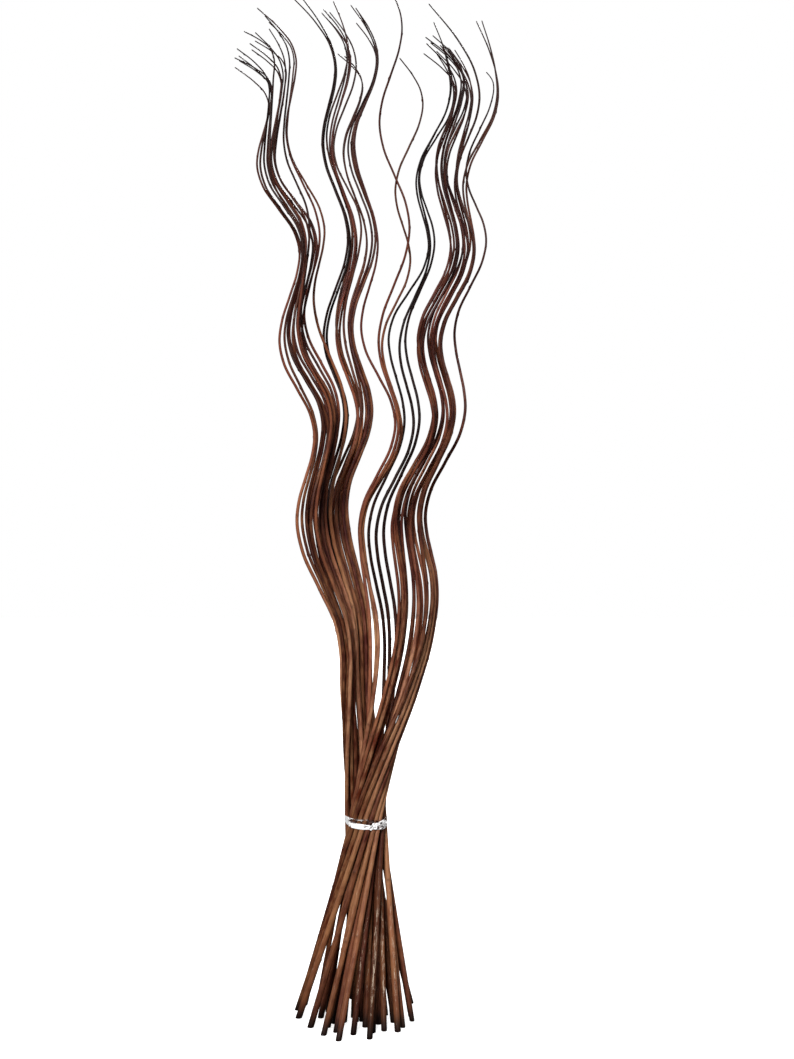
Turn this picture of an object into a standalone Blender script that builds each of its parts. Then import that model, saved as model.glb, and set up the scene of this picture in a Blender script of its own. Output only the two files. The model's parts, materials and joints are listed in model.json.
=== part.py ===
"""A bunch of crimped willow stems, tied low down and standing on its splayed cut ends.

Every stem is one solid that runs from a cut foot, through the tie, to its own tip. The feet splay and
cross the other way from the tops, as in a twisted sheaf, which is what lets the bunch stand unheld.
Above the tie the stems swing from side to side together, because the bundle was steamed and crimped
in one piece. Metres, +Z up, seen from the front along +Y.
"""

import math

import bmesh
import bpy
import numpy as np

MM = 0.001

# Stem sizes
FOOT_RADIUS = 3.3 * MM
FOOT_RADIUS_SPREAD = 0.42 * MM
MIDDLE_THINNING = 0.6
WHIP_RADIUS = 1.1 * MM
TIP_RADIUS = 0.64 * MM
TAPER_SHARES = (0.0, 0.45, 0.83, 0.91, 1.0)
STEM_SIDES = 5
CLEARANCE = 0.36 * MM

# The tie and the splayed feet
TIE_HEIGHT = 242 * MM
TIE_WIDTH = 11 * MM
TIE_THICKNESS = 0.9 * MM
TIE_SLOPE = -0.07
TIE_SIDES = 28
KNOT_STEP = 23
KNOT_BULGE = 2.2 * MM
WAIST_RADIUS = 27.2 * MM
WAIST_GRIP = 9 * MM
FOOT_SPLAY = 77 * MM
FEET_CENTRE = np.array([-8.5 * MM, 4 * MM])
FEET_TWIST_DEG = -60
FOOT_SCATTER = 4.2 * MM
FOOT_CROWDING = 0.4
FOOT_SWEEP = 42 * MM
FOREMOST_X = 10 * MM
LEAN_ALLOWANCE = 1.05
FOOT_UPRIGHT = 2 * MM

# The front view that the strands below are given in
EYE_DISTANCE = 1770 * MM
EYE_SIDE = 38 * MM
EYE_HEIGHT = 591 * MM

# How a stem strays from its strand
SEED = 7
STRAND_PITCH = 0.65
CREST_WANDER = 1.8 * MM
CREST_LAG = 7.5 * MM
TIP_WANDER = 9 * MM
START_DEPTH_SHARE = 0.78
DEPTH_GROWTH = 2.5
DEPTH_WANDER = 5 * MM
DEPTH_SWAY = 9 * MM

# Where the rings of a stem lie, as shares of the way between two crests
SWING_SHARES = (0.23, 0.5, 0.77)
TIP_SHARES = (0.3, 0.6, 1.0)
SHANK_SHARES = (0.28, 0.55, 0.8)

# Settling the stems beside each other
SETTLE_ROUNDS = 260
PACK_ROUNDS = 1500
SPRING_BACK = 0.02
SMOOTHING = 0.25

# One row for each strand, from left to right in each lock: how many stems run in it, how far behind
# the bunch's middle it starts (negative is in front), and then the points (x, z) in the front view,
# in mm, where its wave turns: above the shank, at each crest, and at the tip.
STRANDS = (
    ("left_1", 1, -28, (-29, 440), (-82, 602), (-61, 704), (-103, 816), (-79, 924), (-130, 1028), (-116, 1102), (-157, 1146)),
    ("left_2", 1, -40, (-26, 440), (-76, 605), (-58, 703), (-97, 821), (-76, 922), (-126, 1027), (-113, 1118), (-152, 1154)),
    ("left_3", 3, -48, (-23, 440), (-68, 605), (-48, 718), (-90, 824), (-72, 929), (-118, 1031), (-113, 1121), (-155, 1162)),
    ("left_4", 1, -34, (-20, 446), (-62, 607), (-44, 722), (-86, 828), (-72, 935), (-115, 1034), (-110, 1158), (-146, 1189)),
    ("left_5", 2, -52, (-19, 446), (-59, 607), (-40, 725), (-82, 830), (-70, 941), (-112, 1034), (-102, 1130), (-142, 1176)),
    ("left_6", 3, -20, (-17, 446), (-55, 608), (-37, 726), (-79, 833), (-61, 941), (-110, 1038), (-97, 1147), (-126, 1186)),
    ("left_7", 1, -36, (-16, 449), (-53, 610), (-35, 730), (-77, 842), (-67, 955), (-98, 1058), (-91, 1154), (-121, 1208)),
    ("left_8", 1, -12, (-13, 452), (-49, 612), (-32, 733), (-74, 848), (-55, 944), (-95, 1068), (-83, 1154), (-130, 1217)),
    ("left_9", 1, 0, (-11, 458), (-42, 614), (-23, 728), (-62, 869), (-49, 950), (-94, 1063), (-86, 1158), (-116, 1200)),
    ("inner_1", 2, 22, (-10, 446), (-47, 614), (-24, 732), (-48, 824), (-20, 941), (-52, 1058), (-35, 1146), (-86, 1241)),
    ("inner_2", 4, 36, (-6, 452), (-40, 614), (-8, 728), (-34, 830), (-13, 941), (-43, 1056), (-20, 1159), (-47, 1217)),
    ("inner_3", 1, 12, (-4, 452), (-35, 617), (-5, 728), (-26, 836), (-5, 953), (-38, 1049), (-11, 1148), (-43, 1212)),
    ("inner_4", 2, 46, (-1, 452), (-31, 617), (-1, 728), (-20, 833), (1, 931), (-25, 1040), (-2, 1121), (-32, 1158)),
    ("inner_5", 3, 24, (2, 458), (-24, 619), (6, 731), (-17, 830), (11, 938), (-18, 1049), (14, 1152), (-14, 1214)),
    ("inner_6", 1, -18, (6, 458), (-7, 595), (36, 718), (-5, 833), (15, 932), (-13, 1056), (14, 1150), (-11, 1199)),
    ("middle_1", 1, -46, (16, 458), (-5, 593), (40, 713), (16, 816), (53, 953), (17, 1079), (44, 1194), (28, 1243)),
    ("middle_2", 1, -38, (13, 452), (-4, 595), (43, 710), (20, 812), (54, 914), (36, 997), (69, 1103), (41, 1157)),
    ("middle_3", 1, 44, (23, 458), (4, 588), (47, 722), (28, 821), (76, 930), (61, 1008), (102, 1118), (91, 1178)),
    ("middle_4", 1, 50, (29, 464), (13, 586), (58, 718), (41, 809), (78, 931), (64, 1010), (103, 1122), (82, 1200)),
    ("middle_5", 1, 42, (37, 470), (22, 590), (65, 725), (48, 818), (83, 936), (65, 1013), (106, 1110), (95, 1166)),
    ("right_1", 3, -46, (44, 506), (34, 600), (82, 725), (63, 812), (104, 924), (85, 1025), (107, 1112), (78, 1169)),
    ("right_2", 3, -26, (49, 506), (40, 602), (86, 728), (68, 812), (112, 929), (92, 1025), (117, 1128), (80, 1184)),
    ("right_3", 3, 0, (60, 506), (50, 602), (95, 728), (77, 815), (119, 931), (97, 1025), (122, 1109), (91, 1172)),
    ("right_4", 3, 26, (71, 509), (59, 602), (101, 728), (83, 816), (125, 931), (109, 1008), (128, 1109), (104, 1164)),
    ("right_5", 1, -40, (74, 509), (65, 605), (105, 731), (91, 815), (131, 923), (110, 1013), (137, 1109), (76, 1222)),
    ("right_6", 2, -10, (82, 516), (67, 605), (106, 732), (91, 812), (132, 924), (119, 1001), (160, 1111), (139, 1193)),
    ("right_7", 1, 14, (86, 518), (72, 607), (120, 737), (107, 827), (145, 938), (121, 1020), (154, 1123), (145, 1140)),
)

# Bark tones: colour and roughness
BARK = {
    "bark_chestnut": ((0.20, 0.092, 0.045, 1.0), 0.5),
    "bark_russet": ((0.135, 0.055, 0.034, 1.0), 0.52),
    "bark_dark": ((0.05, 0.022, 0.016, 1.0), 0.55),
}
DARK_STRANDS = ("middle_3", "middle_4", "middle_5", "inner_1")
FILM_COLOUR = (0.86, 0.87, 0.88, 1.0)


def clear_scene():
    for obj in list(bpy.data.objects):
        bpy.data.objects.remove(obj)


def make_material(name, colour, roughness):
    material = bpy.data.materials.new(name)
    material.use_nodes = True
    shader = material.node_tree.nodes["Principled BSDF"]
    shader.inputs["Base Color"].default_value = colour
    shader.inputs["Roughness"].default_value = roughness
    shader.inputs["Metallic"].default_value = 0.0
    material.diffuse_color = colour
    return material


def seen_from_front(x, z, depth):
    """The point at this depth that looks from the eye as if it were at (x, z) in the bunch's own plane."""
    share = (EYE_DISTANCE + depth) / EYE_DISTANCE
    return EYE_SIDE + (x - EYE_SIDE) * share, EYE_HEIGHT + (z - EYE_HEIGHT) * share


class Stem:
    """One stem: its name, its turning points in space, its radii, and later its rings."""

    def __init__(self, strand, number, rng):
        name, count, depth, *turns = strand
        self.strand = name
        self.name = f"stem_{name}" if count == 1 else f"stem_{name}{'abcdefgh'[number]}"
        self.foot_radius = FOOT_RADIUS + FOOT_RADIUS_SPREAD * rng.uniform(-1, 1)
        alone = count == 1
        beside = number - (count - 1) / 2
        behind = 0.0 if alone else DEPTH_WANDER * (2 * (number % 2) - 1)
        start_depth = depth * MM * START_DEPTH_SHARE + behind
        end_depth = start_depth * DEPTH_GROWTH + DEPTH_WANDER * rng.uniform(-1, 1)
        sway = DEPTH_SWAY * rng.uniform(-1, 1)
        tip_z = turns[-1][1] * MM
        lag = 0.0 if alone else CREST_LAG * rng.uniform(-1, 1)
        self.turns = []
        for index, (x, z) in enumerate(turns):
            x, z = x * MM, z * MM
            share = z / tip_z
            drift = start_depth + (end_depth - start_depth) * index / (len(turns) - 1)
            sway_here = sway * (-1) ** index * rng.uniform(0.6, 1.0) * min(index, 1)
            x += beside * STRAND_PITCH * 2 * self.radius_at_share(share)
            if not alone:
                x += CREST_WANDER * rng.uniform(-1, 1)
                z += lag if index < len(turns) - 1 else 0.0
            if index == len(turns) - 1 and not alone:
                x += TIP_WANDER * rng.uniform(-1, 1)
                z += TIP_WANDER * rng.uniform(-1, 1)
            x, z = seen_from_front(x, z, drift + sway_here)
            self.turns.append((x, drift, z, sway_here))
        self.turns = np.array(self.turns)
        self.slot = None
        self.foot = None

    def radius_at_share(self, share):
        """A taper that eases off at half height, and a thin whip that keeps its thickness to near the tip."""
        middle = MIDDLE_THINNING * self.foot_radius
        radii = (self.foot_radius, middle, WHIP_RADIUS, WHIP_RADIUS, TIP_RADIUS)
        return np.interp(share, TAPER_SHARES, radii)

    def waist_radius(self):
        return self.radius_at_share(TIE_HEIGHT / self.turns[-1][2])

    def find_rings(self):
        """The centres of the stem's rings, from its foot to its tip."""
        first = self.turns[0, :3]
        grip_low, grip_high = TIE_HEIGHT - WAIST_GRIP, TIE_HEIGHT + WAIST_GRIP
        lean = (self.slot - self.foot) / TIE_HEIGHT
        rings = [np.array([*(self.foot + lean * z), z]) for z in (0.0, FOOT_UPRIGHT, grip_low / 2, grip_low)]
        rings[1][:2] = rings[0][:2]
        start = np.array([*(self.foot + lean * grip_high), grip_high])
        rings.append(start)
        depth_rise = (self.turns[1, 1] - first[1]) / (self.turns[1, 2] - first[2])
        for t in SHANK_SHARES:
            rings.append(hermite(start, first, lean, np.array([0.0, depth_rise]), t))
        rings.append(first)
        for a, b in zip(self.turns[:-2], self.turns[1:-1]):
            rings += [swing(a, b, t) for t in (*SWING_SHARES, 1.0)]
        a, b = self.turns[-2:]
        rings += [leave(a, b, t) for t in TIP_SHARES]
        self.rings = np.array(rings)
        self.radii = self.radius_at_share(self.rings[:, 2] / self.rings[-1, 2])


def hermite(a, b, slope_a, slope_b, t):
    """A cubic in height from a to b that leaves and arrives with these horizontal slopes."""
    rise = b[2] - a[2]
    flat = (
        (2 * t**3 - 3 * t**2 + 1) * a[:2]
        + (t**3 - 2 * t**2 + t) * rise * slope_a
        + (3 * t**2 - 2 * t**3) * b[:2]
        + (t**3 - t**2) * rise * slope_b
    )
    return np.array([*flat, a[2] + rise * t])


def between(a, b, t, crossing):
    """Between two turns the stem rises and drifts evenly, and crosses over by this share in its swing."""
    side = a[0] + (b[0] - a[0]) * crossing
    depth = a[1] + (b[1] - a[1]) * t + a[3] + (b[3] - a[3]) * crossing
    return np.array([side, depth, a[2] + (b[2] - a[2]) * t])


def swing(a, b, t):
    """Between two crests a stem crosses over on half a cosine."""
    return between(a, b, t, (1 - math.cos(math.pi * t)) / 2)


def leave(a, b, t):
    """Past its last crest a stem leans away on a quarter cosine, so that its tip is its steepest part."""
    return between(a, b, t, 1 - math.cos(math.pi / 2 * t))


def spread_out(place, radius, limit):
    """Pushes circles apart until none overlap, and holds them all inside a round of this radius."""
    alone = np.eye(len(place))
    for _ in range(PACK_ROUNDS):
        gap = place[:, None] - place[None]
        distance = np.hypot(gap[..., 0], gap[..., 1]) + alone
        overlap = np.maximum(radius[:, None] + radius[None] - distance, 0) * (1 - alone)
        place = place + 0.35 * (gap / distance[..., None] * overlap[..., None]).sum(axis=1)
        far = np.hypot(*place.T)
        outside = np.maximum(far + radius - limit, 0)
        place = place - place / far[:, None] * outside[:, None]
    return place


def rank(values):
    return np.argsort(np.argsort(values))


def pack_waist(stems):
    """Gives each stem its place in the tie. A stem passes the waist a quarter turn short of where its top
    leans, and the ones that lean furthest lie outermost."""
    tops = np.array([s.turns[0][:2] for s in stems])
    tops = tops - tops.mean(axis=0)
    angle = np.arctan2(tops[:, 1], tops[:, 0]) - math.pi / 2
    reach = WAIST_RADIUS * 0.9 * np.sqrt((rank(np.hypot(*tops.T)) + 0.5) / len(stems))
    place = np.stack([reach * np.cos(angle), reach * np.sin(angle)], axis=1)
    radius = np.array([s.waist_radius() for s in stems]) * LEAN_ALLOWANCE + CLEARANCE / 2
    for stem, slot in zip(stems, spread_out(place, radius, WAIST_RADIUS)):
        stem.slot = slot


def splay_feet(stems, rng):
    """The feet repeat the pattern of the waist, widened and turned, as the straight rulings of a twisted
    sheaf do. Turning it keeps any two stems from crossing on the way down. The inner feet stay closer
    together than the outer ones, and those to the left and right of the foremost stand further back."""
    reach = WAIST_RADIUS - FOOT_RADIUS
    turn = math.radians(FEET_TWIST_DEG)
    twist = np.array([[math.cos(turn), -math.sin(turn)], [math.sin(turn), math.cos(turn)]])
    for stem in stems:
        widening = FOOT_SPLAY / reach * (math.hypot(*stem.slot) / reach) ** FOOT_CROWDING
        spread = widening * twist @ stem.slot
        swept = np.array([0.0, FOOT_SWEEP * ((spread[0] - FOREMOST_X) / FOOT_SPLAY) ** 2])
        stem.foot = FEET_CENTRE + spread + swept + FOOT_SCATTER * rng.uniform(-1, 1, 2)


def closest(a0, a1, b0, b1):
    """For rows of segment pairs: the shares along each where they come closest, and the gap between."""
    u, v, w = a1 - a0, b1 - b0, a0 - b0
    uu, uv, vv = (u * u).sum(1), (u * v).sum(1), (v * v).sum(1)
    uw, vw = (u * w).sum(1), (v * w).sum(1)
    s = np.clip((uv * vw - vv * uw) / np.maximum(uu * vv - uv * uv, 1e-15), 0, 1)
    t = np.clip((uv * s + vw) / vv, 0, 1)
    s = np.clip((uv * t - uw) / uu, 0, 1)
    return s, t, w + u * s[:, None] - v * t[:, None]


def near_pairs(points, radii, owner, starts):
    """Pairs of segments of different stems that lie near enough to matter."""
    a, b = points[starts], points[starts + 1]
    middle, half = (a + b) / 2, np.linalg.norm(b - a, axis=1) / 2
    distance = np.linalg.norm(middle[:, None] - middle[None], axis=2)
    reach = half[:, None] + half[None] + 6 * FOOT_RADIUS
    first, second = np.nonzero((distance < reach) & (owner[starts][:, None] < owner[starts][None]))
    return starts[first], starts[second]


def settle(stems):
    """Pushes stems sideways off each other wherever their surfaces come nearer than the clearance.
    Each stem gives way smoothly along its length and springs back a little towards its own line."""
    sizes = [len(s.rings) for s in stems]
    ends = np.cumsum(sizes)
    points = np.concatenate([s.rings for s in stems])
    radii = np.concatenate([s.radii for s in stems])
    owner = np.repeat(np.arange(len(stems)), sizes)
    starts = np.setdiff1d(np.arange(len(points)), ends - 1)
    own_line = points.copy()
    height = points[:, 2]
    gripped = np.abs(height - TIE_HEIGHT) < WAIST_GRIP * 1.01
    for turn in range(SETTLE_ROUNDS):
        if turn % 20 == 0:
            first, second = near_pairs(points, radii, owner, starts)
        s, t, gap = closest(points[first], points[first + 1], points[second], points[second + 1])
        distance = np.maximum(np.linalg.norm(gap, axis=1), 1e-7)
        wanted = (
            radii[first] * (1 - s) + radii[first + 1] * s
            + radii[second] * (1 - t) + radii[second + 1] * t + CLEARANCE
        )
        deep = np.maximum(wanted - distance, 0)
        if turn > SETTLE_ROUNDS // 2 and not deep.any():
            break
        way = gap[:, :2] / distance[:, None]
        push = 0.5 * way * deep[:, None]
        shift = np.zeros((len(points), 2))
        weight = np.full(len(points), 1e-9)
        for index, share, sign in (
            (first, 1 - s, 1), (first + 1, s, 1), (second, 1 - t, -1), (second + 1, t, -1)
        ):
            hit = deep > 0
            np.add.at(shift, index[hit], sign * push[hit] * share[hit, None] * 1.6)
            np.add.at(weight, index[hit], share[hit])
        points[:, :2] += shift / np.maximum(weight, 1.0)[:, None]
        fading = max(0.0, 1 - turn / (SETTLE_ROUNDS * 0.7))
        strayed = points[:, :2] - own_line[:, :2]
        for begin, end in zip(ends - sizes, ends):
            run = strayed[begin:end]
            run[1:-1] += SMOOTHING * fading * ((run[:-2] + run[2:]) / 2 - run[1:-1])
            run[1] = run[0]
        points[:, :2] = own_line[:, :2] + strayed * (1 - SPRING_BACK * fading)
        out = np.hypot(points[gripped, 0], points[gripped, 1])
        slant_room = 1.04
        limit = WAIST_RADIUS - radii[gripped] * slant_room
        points[gripped, :2] *= np.minimum(1, limit / np.maximum(out, 1e-9))[:, None]
    for stem, begin, end in zip(stems, ends - sizes, ends):
        stem.rings = points[begin:end]


def centre_on_box(stems):
    """Moves the bunch so that the origin is the middle of its bounding box, on the floor."""
    corners = [ring_points(s.rings, s.radii, index) for s in stems for index in range(len(s.rings))]
    corners = np.concatenate(corners)
    middle = (corners.max(axis=0) + corners.min(axis=0)) / 2
    for stem in stems:
        stem.rings = stem.rings - [middle[0], middle[1], 0]
    return -middle[:2]


def ring_points(rings, radii, index):
    """The corners of one ring, square to the stem's run there; the foot's ring lies flat on the floor."""
    low, high = max(index - 1, 0), min(index + 1, len(rings) - 1)
    way = rings[high] - rings[low]
    if index == 0:
        way = np.array([0.0, 0.0, 1.0])
    way = way / np.linalg.norm(way)
    side = np.array([1.0, 0.0, 0.0]) - way[0] * way
    side = side / np.linalg.norm(side)
    back = np.cross(way, side)
    turn = 2 * math.pi * np.arange(STEM_SIDES) / STEM_SIDES
    return rings[index] + radii[index] * (np.outer(np.cos(turn), side) + np.outer(np.sin(turn), back))


def grow_stem(stem, material):
    """Joins the stem's rings by quads and closes it with the cut foot face and a small tip face."""
    shape = bmesh.new()
    loops = []
    for index in range(len(stem.rings)):
        loops.append([shape.verts.new(p) for p in ring_points(stem.rings, stem.radii, index)])
    for low, high in zip(loops, loops[1:]):
        for step in range(STEM_SIDES):
            after = (step + 1) % STEM_SIDES
            shape.faces.new((low[step], low[after], high[after], high[step]))
    shape.faces.new(loops[0])
    shape.faces.new(loops[-1])
    bmesh.ops.recalc_face_normals(shape, faces=shape.faces)
    return add_object(stem.name, shape, material)


def add_object(name, shape, material):
    mesh = bpy.data.meshes.new(name)
    shape.to_mesh(mesh)
    shape.free()
    mesh.shade_smooth()
    mesh.set_sharp_from_angle(angle=math.radians(75))
    mesh.materials.append(material)
    obj = bpy.data.objects.new(name, mesh)
    bpy.context.scene.collection.objects.link(obj)
    return obj


def make_tie(centre, material):
    """A clear film band drawn round the waist, a little lower on the right, with its knot on the front."""
    shape = bmesh.new()
    inner = WAIST_RADIUS + CLEARANCE
    outer = inner + TIE_THICKNESS
    loops = []
    for radius, rise in ((inner, -0.5), (outer, -0.5), (outer, 0.5), (inner, 0.5)):
        ring = []
        for step in range(TIE_SIDES):
            turn = 2 * math.pi * step / TIE_SIDES
            bulge = KNOT_BULGE if radius == outer and step == KNOT_STEP else 0.0
            x, y = (radius + bulge) * math.cos(turn), (radius + bulge) * math.sin(turn)
            z = TIE_HEIGHT + rise * TIE_WIDTH + TIE_SLOPE * x
            ring.append(shape.verts.new((centre[0] + x, centre[1] + y, z)))
        loops.append(ring)
    for low, high in zip(loops, loops[1:] + loops[:1]):
        for step in range(TIE_SIDES):
            after = (step + 1) % TIE_SIDES
            shape.faces.new((low[step], low[after], high[after], high[step]))
    bmesh.ops.recalc_face_normals(shape, faces=shape.faces)
    return add_object("tie", shape, material)


def lay_out():
    """All stems with their rings settled, and where the tie's centre then is."""
    rng = np.random.default_rng(SEED)
    stems = [Stem(strand, number, rng) for strand in STRANDS for number in range(strand[1])]
    pack_waist(stems)
    splay_feet(stems, rng)
    for stem in stems:
        stem.find_rings()
    settle(stems)
    return stems, centre_on_box(stems)


def main():
    clear_scene()
    stems, tie_centre = lay_out()
    tones = {name: make_material(name, *look) for name, look in BARK.items()}
    light_tones = ("bark_chestnut", "bark_chestnut", "bark_russet")
    for number, stem in enumerate(stems):
        tone = "bark_dark" if stem.strand in DARK_STRANDS else light_tones[number % 3]
        grow_stem(stem, tones[tone])
    make_tie(tie_centre, make_material("clear_film", FILM_COLOUR, 0.15))


if __name__ == "__main__":
    main()
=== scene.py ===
"""The look of a tied bunch of crimped willow stems, standing on its cut ends.

Each stem of the frame gets a round, tapering skin of bark that follows the stem's own line, with nodes,
leaf scars and a cut end. The tie is clear film, drawn round twice and knotted at the front.
"""
import json
import math

import bmesh
import bpy
import numpy as np
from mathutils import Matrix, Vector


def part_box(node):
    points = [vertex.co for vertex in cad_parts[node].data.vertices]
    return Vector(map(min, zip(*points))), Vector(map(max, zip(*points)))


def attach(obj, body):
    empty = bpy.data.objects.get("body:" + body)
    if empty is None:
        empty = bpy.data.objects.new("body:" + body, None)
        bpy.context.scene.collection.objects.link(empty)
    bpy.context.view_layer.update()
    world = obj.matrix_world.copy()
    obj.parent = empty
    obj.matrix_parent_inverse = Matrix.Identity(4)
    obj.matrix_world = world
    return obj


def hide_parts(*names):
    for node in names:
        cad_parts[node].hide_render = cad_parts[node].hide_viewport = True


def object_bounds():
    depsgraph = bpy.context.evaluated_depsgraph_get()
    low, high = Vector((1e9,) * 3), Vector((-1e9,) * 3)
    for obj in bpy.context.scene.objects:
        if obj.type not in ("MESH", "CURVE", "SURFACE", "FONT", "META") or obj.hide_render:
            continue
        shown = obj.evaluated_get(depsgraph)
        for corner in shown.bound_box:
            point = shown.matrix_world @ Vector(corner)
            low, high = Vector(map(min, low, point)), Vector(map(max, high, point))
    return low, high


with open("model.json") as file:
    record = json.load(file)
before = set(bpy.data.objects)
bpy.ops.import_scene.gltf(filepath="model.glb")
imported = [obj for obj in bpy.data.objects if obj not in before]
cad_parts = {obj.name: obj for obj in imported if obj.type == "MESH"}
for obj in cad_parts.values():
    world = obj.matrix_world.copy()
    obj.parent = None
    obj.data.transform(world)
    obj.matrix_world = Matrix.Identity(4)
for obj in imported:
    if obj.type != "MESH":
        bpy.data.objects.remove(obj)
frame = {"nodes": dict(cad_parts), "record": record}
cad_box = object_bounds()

MM = 0.001
TAU = 2 * math.pi
SEED = 41

# The frame's stems: five corners to a ring, and the rings more than this apart in height
FRAME_SIDES = 5
FRAME_RING_APART = 1.5 * MM

# The stems' skin. The frame's stems stand 0.36 mm apart, and real ones touch, so the bark is fuller
BARK_GROWTH = 0.13 * MM
SKIN_SIDES = 12
RING_STEP = 4.5 * MM
OUT_OF_ROUND = 0.03

# Nodes, where leaves grew: how far apart, how far below the tip the last one is, how long and by what
# share they swell, and where the skin has extra rings round each
NODE_GAP_LOW, NODE_GAP_TOP = 48 * MM, 26 * MM
NODE_BELOW_TIP = 8 * MM
NODE_LENGTH = 1.9 * MM
NODE_SWELL = 0.035
NODE_RINGS = np.array([-2.6, -1.3, 0.0, 1.3, 2.6]) * MM
# The leaf scar, a little above the middle of its node. Each is two fifths of a turn on from the last
LEAF_TURN = 0.8 * math.pi
SCAR_RISE = 0.8 * MM
SCAR_LENGTH = 1.5 * MM
SCAR_WIDTH = 0.55
SCAR_HEIGHT = 0.16
# The bud that each scar grows into towards the tip
BUD_HEIGHT = 0.6 * MM

# The tip: thinner, with a blunt bud, whose rings are at shares of its length
TIP_LENGTH = 45 * MM
TIP_THINNING = 0.15
TIP_BUD_LENGTH = 1.4 * MM
TIP_BUD_RINGS = np.array([0.9, 0.4, 0.0])
TIP_BLUNTNESS = 0.12
# The cut end: bevelled up and in, and a little hollow. Its rings are at shares of its radius
FOOT_BEVEL, FOOT_BEVEL_IN = 0.45 * MM, 0.27 * MM
CUT_HOLLOW = 0.12 * MM
CUT_RINGS = np.array([0.97, 0.86, 0.6, 0.34, 0.14])

# Where the pale streaks go, partly rubbed stain and partly painted glints: low down, on the sides that face
# away from a place behind the middle, and most of all on the feet round a place at the front
RUBBED_AWAY_FROM = (0, 60 * MM)
RUBBED_TOP = 215 * MM
RUBBED_MOST = (16 * MM, -44 * MM)
RUBBED_ROUND = 36 * MM
RUBBED_ELSEWHERE = 0.3

# The film tie
FILM_STEPS, FILM_SIDES = 240, 14
FILM_WIDTH = 5.8 * MM
FILM_APART = 3.0 * MM
FILM_THICKNESS = 0.3 * MM
FILM_SLACK = 0.5 * MM
TIE_SLOPE = -0.07
KNOT_AT = math.radians(-64)
KNOT_SIZE = 1.15 * MM
KNOT_CORD = 1.3 * MM
CURL_WIDTH = 3.6 * MM
# The ring of painted shade round the knot: how far out it stands and how wide it is
PUCKER_ROUND, PUCKER_WIDTH = 5.6 * MM, 0.9 * MM

# The view: from the front, level, at about half the bunch's height
EYE_DISTANCE = 1770 * MM
EYE_SIDE = 38 * MM
EYE_HEIGHT = 591 * MM
LENS_MM, SENSOR_MM = 50.14, 36.0


def linear(hex_colour):
    """An sRGB hex colour as linear red, green, blue and a full alpha."""
    channels = [int(hex_colour[i:i + 2], 16) / 255 for i in (1, 3, 5)]
    return [c / 12.92 if c <= 0.04045 else ((c + 0.055) / 1.055) ** 2.4 for c in channels] + [1.0]


# Shapes


def bell(distance, width):
    """1 at no distance, falling to 0: the exponential of minus the squared distance over the width."""
    return np.exp(-((distance / width) ** 2))


def loft(rings, closed=False):
    """Quads between neighbouring rings of points, and one face over each open end, as arrays of point
    numbers. The rings come as an array of rings by points; closed joins the last ring to the first."""
    count, sides = rings.shape[:2]
    grid = np.arange(count * sides).reshape(count, sides)
    here = grid if closed else grid[:-1]
    there = np.roll(grid, -1, axis=0)[: len(here)]
    quads = np.stack([here, np.roll(here, -1, axis=1), np.roll(there, -1, axis=1), there], axis=-1)
    ends = [] if closed else [grid[:1], grid[-1:]]
    return [quads.reshape(-1, 4), *ends]


def solid(name, parts, materials):
    """One smooth object from parts, with all normals facing outwards. A part is its points and arrays
    of its faces."""
    points, faces = [], []
    for part_points, face_arrays in parts:
        start = sum(len(p) for p in points)
        points.append(part_points)
        for array in face_arrays:
            faces += (array + start).tolist()
    mesh = bpy.data.meshes.new(name)
    mesh.from_pydata(np.concatenate(points), [], faces)
    shape = bmesh.new()
    shape.from_mesh(mesh)
    bmesh.ops.recalc_face_normals(shape, faces=shape.faces)
    shape.to_mesh(mesh)
    shape.free()
    for material in materials:
        mesh.materials.append(material)
    mesh.shade_smooth()
    obj = bpy.data.objects.new(name, mesh)
    bpy.context.scene.collection.objects.link(obj)
    return obj


def mark(mesh, **values):
    """Gives every point of a mesh some named numbers for its material to read."""
    for key, value in values.items():
        mesh.attributes.new(key, "FLOAT", "POINT").data.foreach_set("value", value.astype(np.float32))


def lay_grain(mesh, around, along, whole_turn, sides):
    """A UV map in millimetres, round the piece and along it. At the seam, where the last column meets
    the first, the first one's corners take the whole turn instead of nought."""
    corner = np.empty(len(mesh.loops), int)
    mesh.loops.foreach_get("vertex_index", corner)
    sizes = np.empty(len(mesh.polygons), int)
    mesh.polygons.foreach_get("loop_total", sizes)
    face = np.repeat(np.arange(len(sizes)), sizes)
    at_seam = np.zeros(len(sizes), bool)
    np.logical_or.at(at_seam, face, corner % sides == sides - 1)
    uv = np.stack([around[corner], along[corner]], axis=1)
    uv[(corner % sides == 0) & at_seam[face], 0] += whole_turn
    mesh.uv_layers.new(name="grain").data.foreach_set("uv", uv.ravel())


def centre_line(node):
    """The middle and radius of each ring of a frame stem. Sorted by height, the corners of the flat cut
    end come first, and every later ring's lie together with a clear step up to the next. A ring that
    the frame has thinned, where the stem runs straight, is passed over."""
    merged = node.data.copy()
    shape = bmesh.new()
    shape.from_mesh(merged)
    bmesh.ops.remove_doubles(shape, verts=shape.verts, dist=0.001 * MM)
    shape.to_mesh(merged)
    shape.free()
    corners = np.empty(len(merged.vertices) * 3)
    merged.vertices.foreach_get("co", corners)
    bpy.data.meshes.remove(merged)
    corners = corners.reshape(-1, 3)
    corners = corners[np.argsort(corners[:, 2])]
    upper = corners[FRAME_SIDES:]
    rings = np.split(upper, np.flatnonzero(np.diff(upper[:, 2]) > FRAME_RING_APART) + 1)
    rings = np.array([corners[:FRAME_SIDES]] + [ring for ring in rings if len(ring) == FRAME_SIDES])
    middle = rings.mean(axis=1)
    radius = np.linalg.norm(rings - middle[:, None], axis=2).mean(axis=1)
    # The lowest length runs on straight to the floor, where the frame's last ring is only cut flat
    run = middle[2] - middle[1]
    middle[0] = middle[1] - run * middle[1, 2] / run[2]
    return middle, radius


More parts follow.
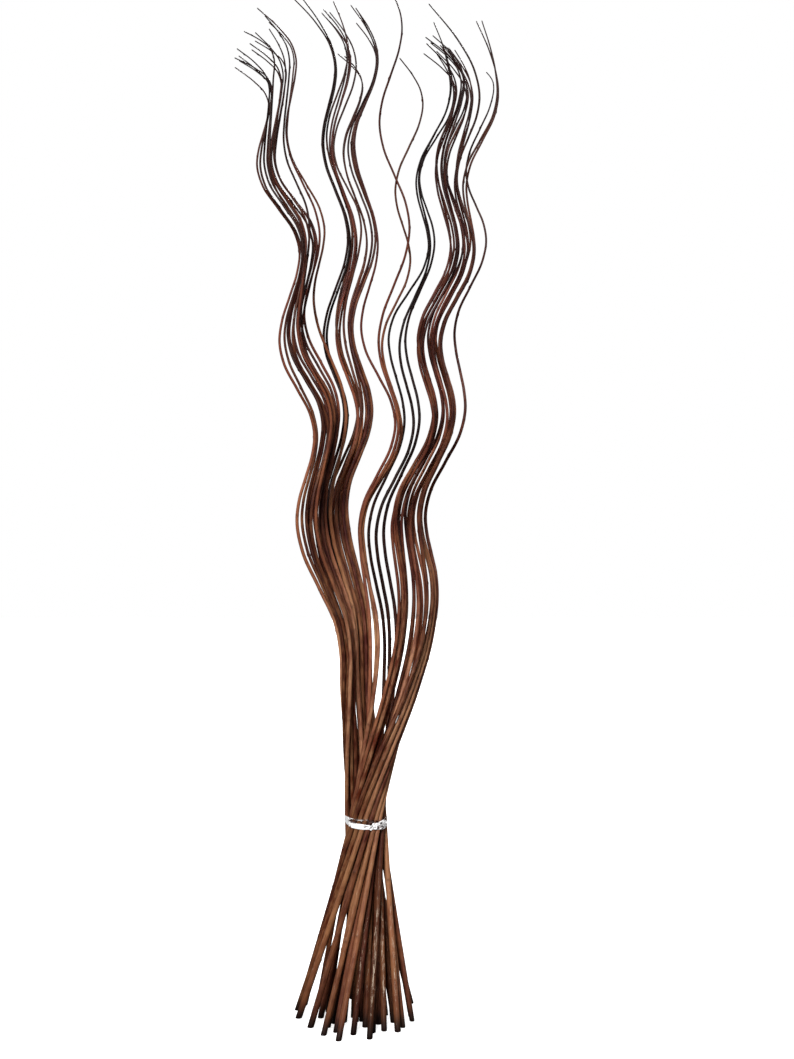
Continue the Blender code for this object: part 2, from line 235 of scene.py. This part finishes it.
def curve_through(points, along, wanted):
    """A cubic through the points. Its slope at each point is the mean of the slopes on either side,
    weighted so that the nearer neighbour counts more. Before the first point it runs on straight."""
    rise = np.diff(along)
    slope = np.diff(points, axis=0) / rise[:, None]
    inner = (slope[:-1] * rise[1:, None] + slope[1:] * rise[:-1, None]) / (rise[1:] + rise[:-1])[:, None]
    slopes = np.concatenate([slope[:1], inner, slope[-1:]])
    low = np.clip(np.searchsorted(along, wanted, side="right") - 1, 0, len(along) - 2)
    before = np.minimum(wanted - along[0], 0)[:, None] * slopes[0]
    t = ((np.maximum(wanted, along[0]) - along[low]) / rise[low])[:, None]
    step = rise[low][:, None]
    return (
        before
        + (2 * t**3 - 3 * t**2 + 1) * points[low]
        + (t**3 - 2 * t**2 + t) * step * slopes[low]
        + (3 * t**2 - 2 * t**3) * points[low + 1]
        + (t**3 - t**2) * step * slopes[low + 1]
    )


def place_nodes(length, rng):
    """How far from the foot the leaves once grew. The gaps shorten towards the tip."""
    share = np.linspace(0, 1, 60)
    gap = NODE_GAP_LOW + (NODE_GAP_TOP - NODE_GAP_LOW) * share
    places = rng.uniform(0.2, 1) * NODE_GAP_LOW + np.cumsum(gap * rng.uniform(0.7, 1.3, len(share)))
    return places[places < length - NODE_BELOW_TIP]


def beside_others(rings, outward, girth, others):
    """How closely each point of a skin faces another stem, from 0 to 1. From each point a step of half
    the stem's radius is taken outwards. The share is 1 where the step ends that deep in a neighbour,
    and it falls evenly to 0 where it ends as far outside one. A neighbour is a circle at each height."""
    step = 0.5 * girth
    height = rings[..., 2].mean(axis=1)
    reached = rings + step[:, None, None] * outward
    facing = np.zeros(rings.shape[:2])
    for middle, radius in others:
        x, y = (np.interp(height, middle[:, 2], middle[:, axis])[:, None] for axis in (0, 1))
        round_it = np.interp(height, middle[:, 2], radius + BARK_GROWTH, left=-1, right=-1)
        away = np.hypot(reached[..., 0] - x, reached[..., 1] - y)
        facing = np.maximum(facing, ((round_it + step)[:, None] - away) / (2 * step)[:, None])
    return facing.clip(0, 1)


def rubbed_share(foot, outward, s):
    """How pale each point of a skin is streaked, from 0 to 1, the streaks being partly rubbed stain and
    partly painted glints: a bell round the most streaked place that falls to a lesser share, times the
    cube of how squarely the point faces away from the place behind the middle, times a ramp up above the
    cut end and a ramp down below the top of the streaks."""
    share = RUBBED_ELSEWHERE + (1 - RUBBED_ELSEWHERE) * bell(math.dist(foot, RUBBED_MOST), RUBBED_ROUND)
    away = foot - RUBBED_AWAY_FROM
    outer = (outward[..., :2] @ (away / np.linalg.norm(away))).clip(0, 1) ** 3
    upward = s / RUBBED_TOP
    ramps = np.clip(upward * 8 - 0.6, 0, 1) * np.clip(2.2 - 2.2 * upward, 0, 1)
    return share * outer * ramps[:, None]


def stem_skin(line, others, name, materials, rng):
    """The skin of one stem: a circle carried along the stem's line. Its radius is the frame's taper and
    a little more, times 1 plus a bell at each node, a bell both ways at each leaf scar and a cosine of
    twice the turn, which wanders slowly round. Towards the tip it thins, and the scars grow into buds.
    A bevelled cut end closes it on the floor, and a bud whose radius is a square root at the tip."""
    middle, radius = line
    along = np.concatenate([[0], np.cumsum(np.linalg.norm(np.diff(middle, axis=0), axis=1))])
    length = along[-1]
    nodes = place_nodes(length, rng)
    near_node = (nodes[:, None] + NODE_RINGS).ravel()
    even = np.arange(0, length, RING_STEP)
    ends = [FOOT_BEVEL, *(length - TIP_BUD_LENGTH * TIP_BUD_RINGS)]
    s = np.unique(np.round(np.concatenate([even, near_node, ends]), 6))
    s = s[(s >= 0) & (s <= length)]
    path = curve_through(middle[1:], along[1:], s)
    girth = np.interp(s, along, radius) + BARK_GROWTH
    girth *= 1 - TIP_THINNING * bell(length - s, TIP_LENGTH)

    way = np.gradient(path, s, axis=0)
    way[0] = way[1]
    way /= np.linalg.norm(way, axis=1)[:, None]
    side = np.array([1.0, 0.0, 0.0]) - way[:, :1] * way
    side /= np.linalg.norm(side, axis=1)[:, None]
    back = np.cross(way, side)

    turn = TAU * np.arange(SKIN_SIDES) / SKIN_SIDES
    from_node = s[:, None] - nodes
    swell = bell(from_node, NODE_LENGTH).sum(axis=1)
    scar_side = rng.uniform(0, TAU) + LEAF_TURN * np.arange(len(nodes))
    apart = (turn[:, None] - scar_side + math.pi) % TAU - math.pi
    scar = (bell(from_node - SCAR_RISE, SCAR_LENGTH)[:, None] * bell(apart, SCAR_WIDTH)).sum(axis=2)
    wander = OUT_OF_ROUND * np.cos(2 * turn - 9 * s[:, None] / length * rng.uniform(0.5, 1.5))
    reach = girth[:, None] * (1 + NODE_SWELL * swell[:, None] + SCAR_HEIGHT * scar + wander)
    reach += BUD_HEIGHT * (s / length)[:, None] ** 2 * scar
    reach *= np.sqrt(np.clip(TIP_BLUNTNESS + (length - s) / TIP_BUD_LENGTH, 0, 1))[:, None]
    reach[0] -= FOOT_BEVEL_IN
    outward = np.cos(turn)[:, None] * side[:, None] + np.sin(turn)[:, None] * back[:, None]
    rings = path[:, None] + reach[..., None] * outward
    # The cut end is level with the floor, so its two lowest rings slide along the stem until they are
    # too, and the next four stay above them
    for level in (0, 1):
        rings[level] += way[1] * ((level * FOOT_BEVEL - rings[level][:, 2]) / way[1, 2])[:, None]
    rings[2:6, :, 2] = np.maximum(rings[2:6, :, 2], FOOT_BEVEL * (1.5 + np.arange(4))[:, None])

    # The cut face: rings drawn in from the rim to the pith, where it is hollowest
    centre = rings[0].mean(axis=0)
    share = CUT_RINGS[:, None, None]
    cut = centre + (rings[0] - centre) * share + np.array([0, 0, CUT_HOLLOW]) * (1 - share) ** 2
    # The outermost stems' fuller bark is held to the frame's box
    everything = np.clip(np.concatenate([cut[::-1], rings]), *cad_box)
    skin = solid(name, [(everything.reshape(-1, 3), loft(everything))], materials)

    mesh = skin.data
    inside = len(CUT_RINGS)
    # The cut face and the face over its middle are bare wood, the second material
    wooden = np.zeros(len(mesh.polygons), int)
    wooden[: inside * SKIN_SIDES] = 1
    wooden[-2] = 1
    mesh.polygons.foreach_set("material_index", wooden)

    height = np.concatenate([np.zeros(inside), s])
    flat = np.zeros((inside, SKIN_SIDES))
    rubbed = rubbed_share(path[0, :2], outward, s)
    # How closely each point faces another stem, which the bark shows as painted shade
    pressed = beside_others(rings, outward, girth, others)
    mark(
        mesh,
        rise=np.repeat(height / length, SKIN_SIDES),
        scar=np.concatenate([flat, scar]).ravel(),
        joint=np.repeat(np.concatenate([np.zeros(inside), swell]), SKIN_SIDES),
        tone=np.full(len(mesh.vertices), rng.uniform(0, 1)),
        rubbed=np.concatenate([flat, rubbed]).ravel(),
        pressed=np.concatenate([flat, pressed]).ravel(),
        rim=np.repeat(np.concatenate([CUT_RINGS[::-1], np.ones(len(s))]), SKIN_SIDES),
    )
    whole_turn = TAU * girth.mean() / MM
    shift = rng.uniform(0, 500, 2)
    around = np.tile(whole_turn * turn / TAU, len(height)) + shift[0]
    lay_grain(mesh, around, np.repeat(height / MM, SKIN_SIDES) + shift[1], whole_turn, SKIN_SIDES)
    mark(mesh, warmth=np.full(len(mesh.vertices), rng.uniform(0, 1)))
    return skin


def taut_outline(middles, radii, angles):
    """How far out a band drawn tight round circles lies at each angle. The band's support in a
    direction is the furthest that any circle reaches there, and the band lies at the nearest of the
    straight lines that those supports stand for."""
    facing = np.linspace(0, TAU, 720, endpoint=False)
    normal = np.stack([np.cos(facing), np.sin(facing)], axis=1)
    support = (middles @ normal.T + radii[:, None]).max(axis=0)
    lean = np.cos(angles[:, None] - facing)
    return np.where(lean > 0.5, support / np.maximum(lean, 0.5), np.inf).min(axis=1)


def film_turn(hull, angle, centre, lift, rng):
    """One turn of film: a thin oval strip carried round the taut outline. It slopes down to the right,
    wavers three times round, and lies furthest from the other turn at the knot. Its width pulses five
    times, its two long edges are rolled fatter, and creases run along it, their depth a sum of sines."""
    spread = np.cos((angle - KNOT_AT) / 2) ** 2 * 0.7 + 0.35
    level = centre[2] + lift * FILM_APART * spread + TIE_SLOPE * hull * np.cos(angle)
    level += 0.35 * MM * np.sin(3 * angle + lift)
    section = TAU * np.arange(FILM_SIDES) / FILM_SIDES
    wide = np.cos(section) * FILM_WIDTH / 2 * (1 + 0.12 * np.sin(5 * angle + 2 * lift))[:, None]
    thick = np.sin(section) * FILM_THICKNESS * (0.6 + 1.4 * np.cos(section) ** 6)
    crease = sum(
        0.2 * MM / (k + 1) * np.sin(k * wide / MM * 0.9 + (k + 1) * angle[:, None] + rng.uniform(0, TAU))
        for k in range(1, 5)
    )
    out = hull[:, None] + FILM_SLACK + 0.12 * MM * lift + thick + crease
    return np.stack(
        [
            centre[0] + out * np.cos(angle)[:, None],
            centre[1] + out * np.sin(angle)[:, None],
            level[:, None] + wide,
        ],
        axis=-1,
    )


def tube(path, wide, flat, closed, sides=10):
    """An oval carried along a path, its long way as upright as the path allows."""
    way = np.roll(path, -1, axis=0) - np.roll(path, 1, axis=0) if closed else np.gradient(path, axis=0)
    way /= np.linalg.norm(way, axis=1)[:, None]
    up = np.array([0.0, 0.0, 1.0]) - way[:, 2:] * way
    up /= np.maximum(np.linalg.norm(up, axis=1), 0.05)[:, None]
    out = np.cross(way, up)
    turn = TAU * np.arange(sides) / sides
    return (
        path[:, None]
        + np.cos(turn)[:, None] * wide[:, None, None] * up[:, None]
        + np.sin(turn)[:, None] * flat[:, None, None] * out[:, None]
    )


def knot_place(centre, hull_at):
    """The middle of the knot, and the directions sideways, up and outwards there."""
    out = np.array([math.cos(KNOT_AT), math.sin(KNOT_AT), 0])
    side = np.array([-math.sin(KNOT_AT), math.cos(KNOT_AT), 0])
    up = np.array([0.0, 0.0, 1.0])
    knot_reach = hull_at(np.array([KNOT_AT]))[0] + 1.0 * MM
    return centre - 1.6 * MM * up + out * knot_reach, side, up, out


def film_knot(centre, hull_at, tie_material):
    """The knot: film bunched to a cord and tied as a trefoil, sin t + 2 sin 2t across and cos t - 2 cos
    2t up. A crumpled end curls to the right and back on itself, and a short one hangs to the left. The
    cord's flanks are painted dark, a painted shade for where the film bends the light away, and the
    crumpled end has dimples of painted shade."""
    t = TAU * np.arange(90) / 90
    at, side, up, out = knot_place(centre, hull_at)
    trefoil = (
        (np.sin(t) + 2 * np.sin(2 * t))[:, None] * side
        + (np.cos(t) - 2 * np.cos(2 * t))[:, None] * up
        - 0.55 * np.sin(3 * t)[:, None] * out
    )
    cord = np.full(len(t), KNOT_CORD)
    lump = tube(at + trefoil * KNOT_SIZE, cord, cord * 0.8, True)

    s = np.linspace(0, 1, 60)
    curl_angle = KNOT_AT + math.radians(38) * np.sin(s * math.pi * 0.78)
    curl_out = hull_at(curl_angle) + (1.0 + 2.2 * s) * MM
    curl = np.stack(
        [
            centre[0] + curl_out * np.cos(curl_angle),
            centre[1] + curl_out * np.sin(curl_angle),
            centre[2] + (-1.2 + 2.0 * np.sin(6 * s) + 1.2 * s) * MM,
        ],
        axis=1,
    )
    curl_end = tube(curl, CURL_WIDTH * (0.45 + 0.55 * np.sin(s * 2.6)), (0.75 - 0.4 * s) * MM, False)
    drop = at + (
        -s[:, None] * 6.5 * MM * side
        - (4.5 * MM * s**1.5)[:, None] * up
        + (0.5 * MM * np.sin(5 * s))[:, None] * out
    )
    short_end = tube(drop, (0.8 + 1.3 * s) * MM, (0.7 - 0.4 * s) * MM, False)
    parts = [(rings.reshape(-1, 3), loft(rings, closed)) for rings, closed in
             ((lump, True), (curl_end, False), (short_end, False))]
    knot = solid("tie_knot", parts, [tie_material])
    # Painted shade along the cord's flanks and in the crumpled end's dimples
    faces_out = [(rings - rings.mean(axis=1, keepdims=True)) @ out for rings in (lump, short_end)]
    flanks = [np.clip(1.6 - 2 * f / np.abs(f).max(axis=1, keepdims=True), 0, 1).ravel() for f in faces_out]
    sides = curl_end.shape[1]
    dimples = 1.6 * np.sin(26 * s)[:, None] * np.sin(2 * TAU * np.arange(sides) / sides + 9 * s[:, None])
    mark(
        knot.data,
        milky=np.repeat([0.85, 0.5], [flanks[0].size, dimples.size + flanks[1].size]),
        flank=np.concatenate([flanks[0], dimples.clip(0, 1).ravel(), flanks[1]]),
    )
    return knot


def film_band(hull_at, centre, tie_material, rng):
    """Both turns of the tie, milkier in the lower one, and whiter towards the left as painted glare. The
    film is clear beside the knot, where it is drawn flat. A ring of painted shade, in seven dark lobes,
    stands round the knot."""
    angle = TAU * np.arange(FILM_STEPS) / FILM_STEPS
    turns = [film_turn(hull_at(angle), angle, centre, lift, rng) for lift in (1, -1)]
    band = solid("tie_film", [(rings.reshape(-1, 3), loft(rings, True)) for rings in turns], [tie_material])
    # Painted glare: the film turns whiter towards the left
    to_left = 0.5 - 0.5 * np.cos(angle + math.radians(20))
    clear = 0.5 * bell((angle - KNOT_AT) % TAU - 0.3, 0.3)
    milky = np.stack([1.5 * to_left**3 - 0.45 - clear, 0.25 + 0.75 * to_left - clear])
    # Whiter along the rolled edges: partly the thicker film and partly painted glints
    rolled = 0.35 * np.cos(TAU * np.arange(FILM_SIDES) / FILM_SIDES) ** 6
    # A ring of painted shade round the knot, in seven dark lobes
    at, side, up, _ = knot_place(centre, hull_at)
    beside, above = ((np.stack(turns) - at) @ way for way in (side, up))
    ring = bell(np.hypot(beside, above) - PUCKER_ROUND, PUCKER_WIDTH)
    puckers = ring * (0.6 + 0.6 * np.sin(7 * np.arctan2(above, beside)))
    mark(band.data, milky=(milky[..., None] + rolled).ravel(), flank=puckers.clip(0, 1).ravel())
    return band


# Materials

# Painted shade in the crevices between touching stems: its colour, and how far it darkens at most
POOLED_STAIN, POOLED_MOST = "#140502", 0.85
SCAR_BROWN = "#160A07"
# Pale bast where the stain is rubbed off, also the colour of painted glints
PALE_BAST = "#D9C3AB"
SOAKED_WOOD = "#3A2316"
# Painted shade for the film's flanks, dimples and the ring round the knot
FILM_EDGE = "#24150F"


def new_material(name):
    """A material with only a shader and its output, the nodes to add to, and the shader's inputs."""
    material = bpy.data.materials.new(name)
    material.use_nodes = True
    tree = material.node_tree
    tree.nodes.clear()
    output = tree.nodes.new("ShaderNodeOutputMaterial")
    shader = tree.nodes.new("ShaderNodeBsdfPrincipled")
    tree.links.new(shader.outputs["BSDF"], output.inputs["Surface"])
    return material, tree, shader.inputs


def add(tree, kind, joins=None, out=0, stops=(), **settings):
    """Adds a node and gives back one of its outputs, by place or name. joins holds its inputs by place
    or name: another node's output is linked, and a plain value is set. stops are a colour ramp's, each
    a place and a hex colour."""
    node = tree.nodes.new("ShaderNode" + kind)
    for key, value in settings.items():
        setattr(node, key, value)
    for place, value in (joins or {}).items():
        if isinstance(value, bpy.types.NodeSocket):
            tree.links.new(value, node.inputs[place])
        else:
            node.inputs[place].default_value = value
    if stops:
        elements = node.color_ramp.elements
        while len(elements) < len(stops):
            elements.new(1.0)
        for element, (place, colour) in zip(elements, stops):
            element.position, element.color = place, linear(colour)
    return node.outputs[out]


def stained_willow_bark(name, shaded, sunny, gleam=0.28):
    """Willow bark, steamed, crimped and stained: a thin satin skin, browner low down where the stems are
    thick and almost black at the thin tips. Fine wrinkles run along it, blotches of stain make it
    uneven, and the nodes and leaf scars are darker. Where stems lie against each other it is painted
    darker as painted shade, and its pale streaks low down are partly rubbed stain and partly painted
    glints. shaded and sunny are its darkest and palest colours, at places from the foot, 0, to the tip, 1."""
    material, tree, inputs = new_material(name)
    rise, tone, warmth, scar, joint, pressed, rubbed = (
        add(tree, "Attribute", out="Fac", attribute_name=key)
        for key in ("rise", "tone", "warmth", "scar", "joint", "pressed", "rubbed")
    )
    grain = add(tree, "UVMap", uv_map="grain")
    place = add(tree, "TexCoord", out="Object")

    # Wrinkles 0.9 mm apart and 16 mm long: the UV map is in millimetres
    along_grain = add(tree, "Mapping", {"Vector": grain, "Scale": (1 / 0.9, 1 / 16, 1)})
    wrinkles = add(tree, "TexNoise", {"Vector": along_grain, "Scale": 1.0, "Detail": 4.0, "Roughness": 0.6})
    # Blotches of stain about 30 mm long, and object coordinates in metres
    blotches = add(tree, "TexNoise", {"Vector": place, "Scale": 33.0, "Detail": 3.0, "Roughness": 0.55})
    # Nearly all of either noise lies between these
    noise_reach = {"From Min": 0.3, "From Max": 0.7}
    uneven = add(tree, "MapRange", {"Value": blotches, **noise_reach, "To Min": -0.3, "To Max": 0.3})
    streaky = add(tree, "MapRange", {"Value": wrinkles, **noise_reach, "To Min": -0.42, "To Max": 0.42})
    tone = add(tree, "Math", {0: tone, 1: uneven}, operation="ADD")
    tone = add(tree, "Math", {0: tone, 1: streaky}, operation="ADD", use_clamp=True)
    dark = add(tree, "ValToRGB", {"Fac": rise}, stops=shaded)
    pale = add(tree, "ValToRGB", {"Fac": rise}, stops=sunny)
    colour = add(tree, "Mix", {0: tone, 6: dark, 7: pale}, out=2, data_type="RGBA")
    # Some stems took the stain redder and some more golden
    warmth = add(tree, "Math", {0: warmth, 1: uneven}, operation="ADD")
    hue = add(tree, "MapRange", {"Value": warmth, "To Min": 0.49, "To Max": 0.505})
    colour = add(tree, "HueSaturation", {"Hue": hue, "Color": colour})
    # Painted shade where two stems lie against each other
    pooled = add(tree, "Math", {0: pressed, 1: POOLED_MOST}, operation="MULTIPLY")
    colour = add(tree, "Mix", {0: pooled, 6: colour, 7: linear(POOLED_STAIN)}, out=2, data_type="RGBA")
    # Leaf scars and the rings of the nodes
    ring = add(tree, "Math", {0: joint, 1: 0.22}, operation="MULTIPLY")
    marks = add(tree, "Math", {0: scar, 1: ring}, operation="MAXIMUM")
    marks = add(tree, "Math", {0: marks, 1: 0.6}, operation="MULTIPLY", use_clamp=True)
    colour = add(tree, "Mix", {0: marks, 6: colour, 7: linear(SCAR_BROWN)}, out=2, data_type="RGBA")
    # Pale streaks, 0.9 mm by 13 mm: partly rubbed stain showing pale bast, partly painted glints
    flaked = add(tree, "Mapping", {"Vector": grain, "Scale": (1 / 0.9, 1 / 13, 1)})
    flakes = add(tree, "TexNoise", {"Vector": flaked, "Scale": 1.0, "Detail": 6.0, "Roughness": 0.8})
    worn = add(tree, "Math", {0: rubbed, 1: 0.22}, operation="MULTIPLY")
    worn = add(tree, "Math", {0: worn, 1: flakes}, operation="ADD")
    bare = add(tree, "MapRange", {"Value": worn, "From Min": 0.65, "From Max": 0.73, "To Max": 0.85})
    colour = add(tree, "Mix", {0: bare, 6: colour, 7: linear(PALE_BAST)}, out=2, data_type="RGBA")
    tree.links.new(colour, inputs["Base Color"])

    gloss = add(tree, "MapRange", {"Value": wrinkles, **noise_reach, "To Min": 0.4, "To Max": 0.6})
    tree.links.new(gloss, inputs["Roughness"])
    inputs["Specular IOR Level"].default_value = gleam
    relief = add(tree, "Bump", {"Strength": 0.4, "Distance": 0.25 * MM, "Height": wrinkles})
    tree.links.new(relief, inputs["Normal"])
    return material


def cut_willow_wood():
    """Willow wood cut across: matt and fibrous round a dark pith, and dirty from the stain at its rim."""
    material, tree, inputs = new_material("cut_willow_wood")
    rim = add(tree, "Attribute", out="Fac", attribute_name="rim")
    place = add(tree, "TexCoord", out="Object")
    # Fibre ends about 0.6 mm apart
    fibres = add(tree, "TexNoise", {"Vector": place, "Scale": 1700.0, "Detail": 2.0})
    wood = add(
        tree, "ValToRGB", {"Fac": rim},
        stops=((0.0, "#1A0D09"), (0.18, "#24130C"), (0.24, "#6E4B2E"), (0.7, "#7E5A38"),
               (0.9, "#4C301E"), (1.0, "#1A0D09")),
    )
    soaked = add(tree, "MapRange", {"Value": fibres, "From Min": 0.4, "From Max": 0.7, "To Max": 0.6})
    colour = add(tree, "Mix", {0: soaked, 6: wood, 7: linear(SOAKED_WOOD)}, out=2, data_type="RGBA")
    tree.links.new(colour, inputs["Base Color"])
    inputs["Roughness"].default_value = 0.85
    inputs["Specular IOR Level"].default_value = 0.2
    relief = add(tree, "Bump", {"Strength": 0.4, "Distance": 0.1 * MM, "Height": fibres})
    tree.links.new(relief, inputs["Normal"])
    return material


def clear_tying_film():
    """Clear polypropylene film, drawn tight: it shows the bark through where it lies flat, turns white
    where it is creased or bunched, and glints. Its whiteness also carries painted glare towards the left
    of the band and painted glints along its rolled edges. It is painted dark, as painted shade, along
    the knot's flanks, in its dimples and in a ring round the knot, and it glows a little as painted light."""
    material, tree, inputs = new_material("clear_tying_film")
    milky = add(tree, "Attribute", out="Fac", attribute_name="milky")
    place = add(tree, "TexCoord", out="Object")
    # Creases 1.5 mm apart and 8 mm long, and object coordinates in metres
    drawn = add(tree, "Mapping", {"Vector": place, "Scale": (130, 130, 650)})
    wandering = {"Detail": 3.0, "Roughness": 0.65, "Distortion": 0.8}
    creases = add(tree, "TexNoise", {"Vector": drawn, "Scale": 1.0, **wandering})
    clouded = add(tree, "Math", {0: milky, 1: 0.3}, operation="MULTIPLY")
    clouded = add(tree, "Math", {0: clouded, 1: creases}, operation="ADD")
    clear_to_white = ((0.46, "#1E120E"), (0.53, "#8C7F7C"), (0.58, "#FFFFFF"))
    colour = add(tree, "ValToRGB", {"Fac": clouded}, stops=clear_to_white)
    # Painted shade on the knot's flanks and dimples and in the ring round it
    flank = add(tree, "Attribute", out="Fac", attribute_name="flank")
    colour = add(tree, "Mix", {0: flank, 6: colour, 7: linear(FILM_EDGE)}, out=2, data_type="RGBA")
    tree.links.new(colour, inputs["Base Color"])
    cover = add(tree, "MapRange", {"Value": clouded, "From Min": 0.42, "From Max": 0.57, "To Min": 0.15})
    tree.links.new(add(tree, "Math", {0: cover, 1: flank}, operation="MAXIMUM"), inputs["Alpha"])
    # Painted glow: the film gives off its own colour as light, so its white creases stay white in shade
    tree.links.new(colour, inputs["Emission Color"])
    inputs["Emission Strength"].default_value = 0.28
    inputs["Roughness"].default_value = 0.12
    inputs["IOR"].default_value = 1.49
    relief = add(tree, "Bump", {"Strength": 0.8, "Distance": 0.5 * MM, "Height": creases})
    tree.links.new(relief, inputs["Normal"])
    return material


def white_paper():
    """Matt white paper, lit through as well as from the front, so that it stays white."""
    material, tree, inputs = new_material("white_paper")
    inputs["Base Color"].default_value = linear("#F7F7F7")
    inputs["Roughness"].default_value = 0.9
    inputs["Specular IOR Level"].default_value = 0.1
    inputs["Emission Color"].default_value = linear("#FFFFFF")
    inputs["Emission Strength"].default_value = 0.78
    return material


# The bunch

# The ramps run from the cut end, 0, to the tip, 1. All of them darken to near black over the lowest 2% of
# each stem's length, down to the cut end
CHESTNUT = stained_willow_bark(
    "chestnut_stained_bark",
    shaded=((0.0, "#120604"), (0.007, "#1A0905"), (0.018, "#3F1D0D"), (0.08, "#552611"), (0.36, "#5E260F"),
            (0.47, "#4A1D0F"), (0.7, "#40180D"), (1.0, "#160503")),
    sunny=((0.0, "#1C0D08"), (0.007, "#2E190F"), (0.018, "#74462B"), (0.08, "#9C6743"), (0.2, "#AC7A54"),
           (0.37, "#D09A72"), (0.47, "#9C6341"), (0.57, "#A0623F"), (0.7, "#8A4B31"), (1.0, "#2E0F09")),
)
RUSSET = stained_willow_bark(
    "russet_stained_bark",
    shaded=((0.0, "#100503"), (0.007, "#170805"), (0.018, "#2F140A"), (0.08, "#40190C"), (0.36, "#461A0B"),
            (0.47, "#3A130A"), (0.7, "#321008"), (1.0, "#110402")),
    sunny=((0.0, "#180B07"), (0.007, "#28140C"), (0.018, "#643A24"), (0.08, "#845132"), (0.2, "#8E5B3C"),
           (0.37, "#AC714E"), (0.47, "#7F482F"), (0.57, "#81482E"), (0.7, "#683220"), (1.0, "#240B06")),
)
# The darkest bark, for the stems in the frame's dark slot: brown low down and nearly black from about a
# third of the way up
BLACKENED = stained_willow_bark(
    "blackened_bark",
    shaded=((0.0, "#0F0503"), (0.007, "#160805"), (0.018, "#2E140A"), (0.08, "#3F1A0D"), (0.26, "#3F1A0D"),
            (0.36, "#1A0704"), (0.58, "#0E0301"), (1.0, "#0A0201")),
    sunny=((0.0, "#160A06"), (0.007, "#24120B"), (0.018, "#5A3420"), (0.08, "#764830"), (0.26, "#7A4B34"),
           (0.36, "#421C10"), (0.58, "#2C1008"), (1.0, "#220B06")),
    gleam=0.16,
)
BARKS = {"bark_chestnut": CHESTNUT, "bark_russet": RUSSET, "bark_dark": BLACKENED}
wood, film = cut_willow_wood(), clear_tying_film()
slots = {part["node"]: part["material_slot"] for part in frame["record"]["subparts"]}
tie_centre = np.mean(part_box("tie"), axis=0)

stems = sorted(name for name in frame["nodes"] if name.startswith("stem_"))
lines = {name: centre_line(frame["nodes"][name]) for name in stems}
for number, (name, line) in enumerate(lines.items()):
    others = [other for other in lines.values() if other is not line]
    rng = np.random.default_rng([SEED, number])
    skin = stem_skin(line, others, name + "_bark", [BARKS[slots[name]], wood], rng)
    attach(skin, "root")
    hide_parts(name)
# Each stem's middle and radius at the tie
waist = np.array([
    [np.interp(tie_centre[2], middle[:, 2], column) for column in (*middle.T[:2], radius)]
    for middle, radius in lines.values()
])


def hull_at(angles):
    """How far out from its own middle the tie lies tight round the stems, at each angle."""
    return taut_outline(waist[:, :2] - tie_centre[:2], waist[:, 2], angles)


band = film_band(hull_at, tie_centre, film, np.random.default_rng(SEED))
knot = film_knot(tie_centre, hull_at, film)
for piece in (band, knot):
    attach(piece, "root")
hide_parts("tie")

# Floor, light and view


def sun(name, azimuth, elevation, spread, strength):
    """A far, soft lamp, so many degrees to the right of the front and so many up."""
    light = bpy.data.lights.new(name, "SUN")
    light.angle = math.radians(spread)
    light.energy = strength
    lamp = bpy.data.objects.new(name, light)
    lamp.rotation_euler = (math.radians(90 - elevation), 0, math.radians(azimuth))
    bpy.context.scene.collection.objects.link(lamp)


def white_world(shown, lighting):
    """White behind the object, and a dimmer white for the light that it gives."""
    world = bpy.data.worlds.new("studio")
    world.use_nodes = True
    tree = world.node_tree
    tree.nodes.clear()
    seen = add(tree, "LightPath", out="Is Camera Ray")
    strength = add(tree, "MapRange", {"Value": seen, "To Min": lighting, "To Max": shown})
    background = add(tree, "Background", {"Color": (1, 1, 1, 1), "Strength": strength})
    output = tree.nodes.new("ShaderNodeOutputWorld")
    tree.links.new(background, output.inputs["Surface"])
    bpy.context.scene.world = world


def paper_floor(half):
    """A white sheet under the bunch. It throws no light back up, as dark stems on white show."""
    corners = np.array([(-half, -half, 0), (half, -half, 0), (half, half, 0), (-half, half, 0)])
    floor = solid("floor", [(corners, [np.arange(4)[None]])], [white_paper()])
    floor.visible_diffuse = False
    floor.visible_glossy = False


paper_floor(half=8.0)
sun("key", azimuth=-11, elevation=32, spread=16, strength=3.3)
sun("fill", azimuth=40, elevation=12, spread=30, strength=0.2)
sun("top", azimuth=-16, elevation=86, spread=24, strength=0.4)
sun("back", azimuth=174, elevation=28, spread=16, strength=2.4)
sun("right side", azimuth=102, elevation=24, spread=30, strength=0.6)
sun("left side", azimuth=-106, elevation=24, spread=30, strength=0.6)
white_world(shown=1.0, lighting=0.035)

camera_data = bpy.data.cameras.new("front_view")
camera_data.sensor_fit = "VERTICAL"
camera_data.sensor_height = SENSOR_MM
camera_data.lens = LENS_MM
camera_data.clip_end = 40
camera = bpy.data.objects.new("front_view", camera_data)
camera.location = (tie_centre[0] + EYE_SIDE, tie_centre[1] - EYE_DISTANCE, EYE_HEIGHT)
camera.rotation_euler = (math.pi / 2, 0, 0)
bpy.context.scene.collection.objects.link(camera)
bpy.context.scene.camera = camera
bpy.context.scene.view_settings.view_transform = "Standard"
